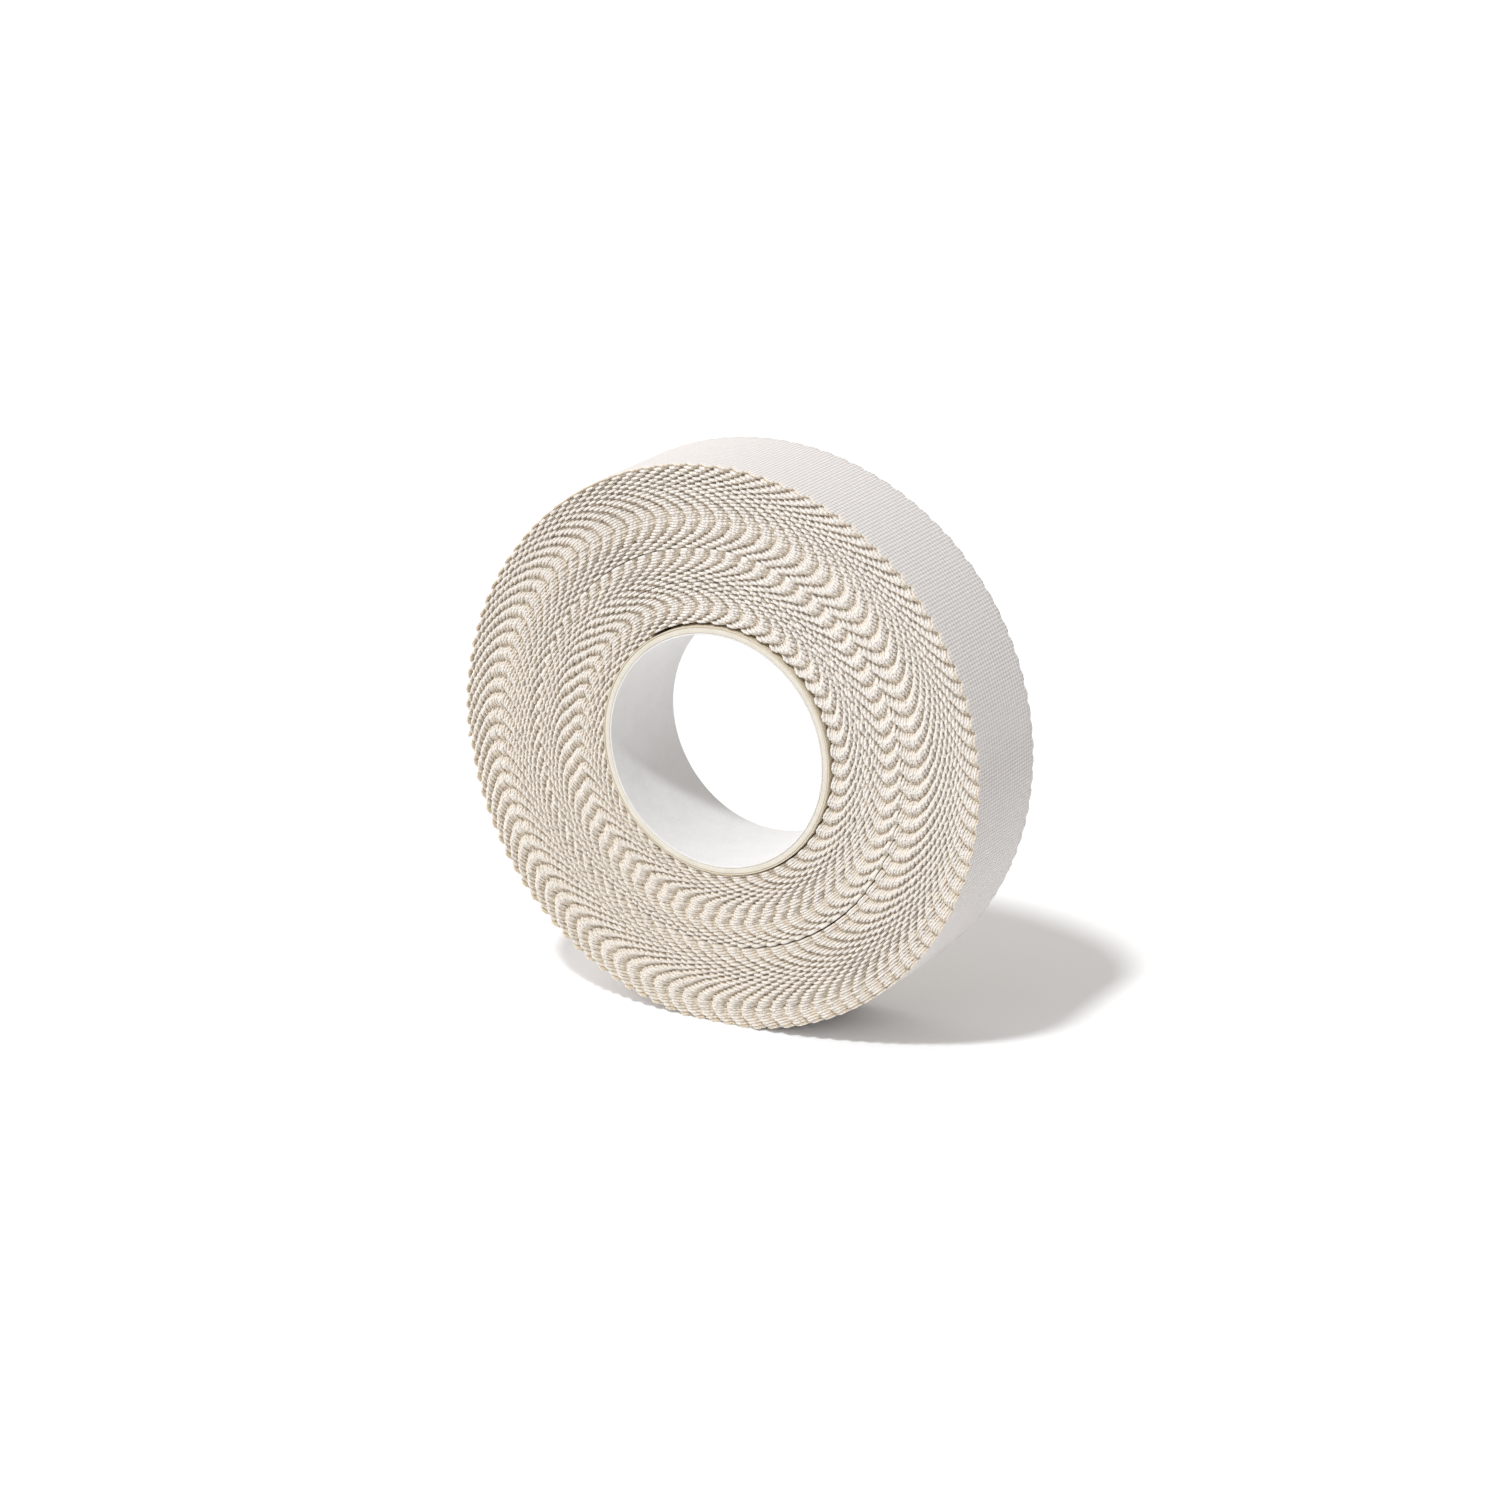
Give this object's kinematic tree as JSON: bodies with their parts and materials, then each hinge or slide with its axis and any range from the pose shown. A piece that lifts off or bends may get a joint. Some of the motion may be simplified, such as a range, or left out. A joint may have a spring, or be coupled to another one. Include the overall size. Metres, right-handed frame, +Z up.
{
  "type": "grip tape roll",
  "caption": "Roll of white cotton grip tape with pinked edges on a paper core, standing on its rim, with a free end that peels off the outer turn.",
  "frame": {"origin": "on the surface the roll stands on, straight below its axis and in the middle of its width", "axes": "+Y along the roll's axis, from the front side to the back side; +Z up; +X to the right seen from the front"},
  "size_m": [0.0591, 0.0126, 0.0587],
  "materials": {
    "white_paper": "satin",
    "cream_board": "satin",
    "kraft_paper": "matte",
    "tape_side": "matte",
    "cotton_cloth": "matte",
    "tape_adhesive": "satin"
  },
  "bodies": {
    "roll": {"core_liner_ply": "white_paper", "core_board_ply": "cream_board", "core_outer_ply": "kraft_paper", "tape_wound_turns": "tape_side", "outer_turn_cloth": "cotton_cloth", "outer_turn_adhesive": "tape_adhesive"},
    "tail_base": {"tail_base_cloth": "cotton_cloth", "tail_base_adhesive": "tape_adhesive"},
    "tail_middle": {"tail_middle_cloth": "cotton_cloth", "tail_middle_adhesive": "tape_adhesive"},
    "tail_tip": {"tail_tip_cloth": "cotton_cloth", "tail_tip_adhesive": "tape_adhesive"}
  },
  "joints": [
    {"name": "tail_peel", "type": "hinge", "parent": "roll", "child": "tail_base", "pos_m": [-0.01714, 0, 0.05329], "axis": [0, 1, 0], "range_deg": [0, 60]},
    {"name": "tail_curl_middle", "type": "hinge", "parent": "tail_base", "child": "tail_middle", "pos_m": [-0.02441, 0, 0.04591], "axis": [0, 1, 0], "range_deg": [0, 24]},
    {"name": "tail_curl_tip", "type": "hinge", "parent": "tail_middle", "child": "tail_tip", "pos_m": [-0.02868, 0, 0.03646], "axis": [0, 1, 0], "range_deg": [0, 24]}
  ],
  "couplings": [
    {"joint": "tail_curl_middle", "follows": "tail_peel", "ratio": 0.4},
    {"joint": "tail_curl_tip", "follows": "tail_peel", "ratio": 0.4}
  ]
}
